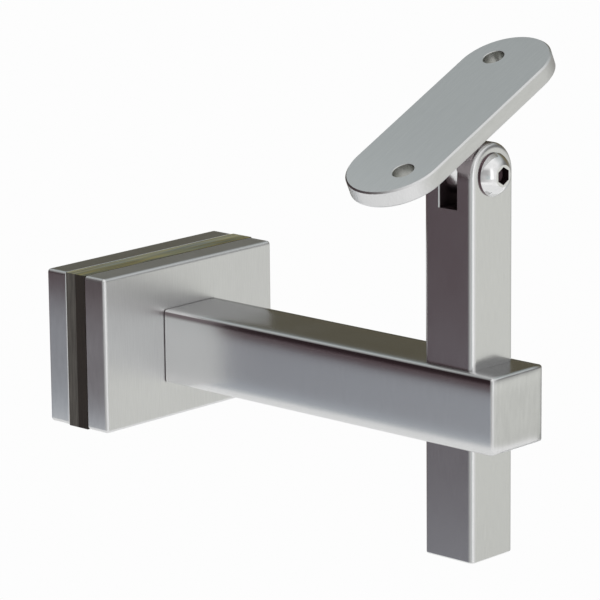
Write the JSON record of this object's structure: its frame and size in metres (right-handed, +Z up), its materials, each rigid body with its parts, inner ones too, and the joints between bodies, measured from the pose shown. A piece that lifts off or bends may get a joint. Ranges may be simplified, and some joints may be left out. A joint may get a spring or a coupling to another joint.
{
  "type": "handrail bracket",
  "caption": "Handrail bracket in brushed steel: gasketed clamp plates for a glass panel, a square arm, a square height-adjusting post and a tilting saddle plate with rounded ends.",
  "frame": {"origin": "on the arm's axis, in the plane where the two gaskets meet, which is the glass's front face when a panel is gripped", "axes": "+X out from the glass along the arm, +Z up along the post, and the handrail runs along Y"},
  "size_m": [0.1365, 0.0709, 0.1295],
  "materials": {
    "brushed_stainless": "fine satin brushed stainless steel",
    "screw_steel": "plain bright stainless steel",
    "gasket_rubber": "matt dark grey-green rubber",
    "sleeve_nylon": "natural nylon"
  },
  "bodies": {
    "bracket": {"arm": "brushed_stainless", "front_plate": "brushed_stainless", "front_gasket": "gasket_rubber", "upper_dowel": "screw_steel", "lower_dowel": "screw_steel", "upper_grub_screw": "screw_steel", "lower_grub_screw": "screw_steel"},
    "rear_clamp": {"rear_plate": "brushed_stainless", "rear_gasket": "gasket_rubber", "clamp_screw": "screw_steel", "glass_sleeve": "sleeve_nylon"},
    "post": {"post": "brushed_stainless", "pivot_screw": "screw_steel"},
    "saddle": {"saddle_plate": "brushed_stainless", "saddle_lug": "brushed_stainless"}
  },
  "joints": [
    {"name": "clamp_opening", "type": "slide", "parent": "bracket", "child": "rear_clamp", "axis": [-1, 0, 0], "range_m": [0, 0.0135]},
    {"name": "post_height", "type": "slide", "parent": "bracket", "child": "post", "axis": [0, 0, 1], "range_m": [-0.04, 0.03]},
    {"name": "saddle_tilt", "type": "hinge", "parent": "post", "child": "saddle", "pos_m": [0.1095, 0, 0.059], "axis": [1, 0, 0], "range_deg": [-115.5, 64.5]}
  ]
}
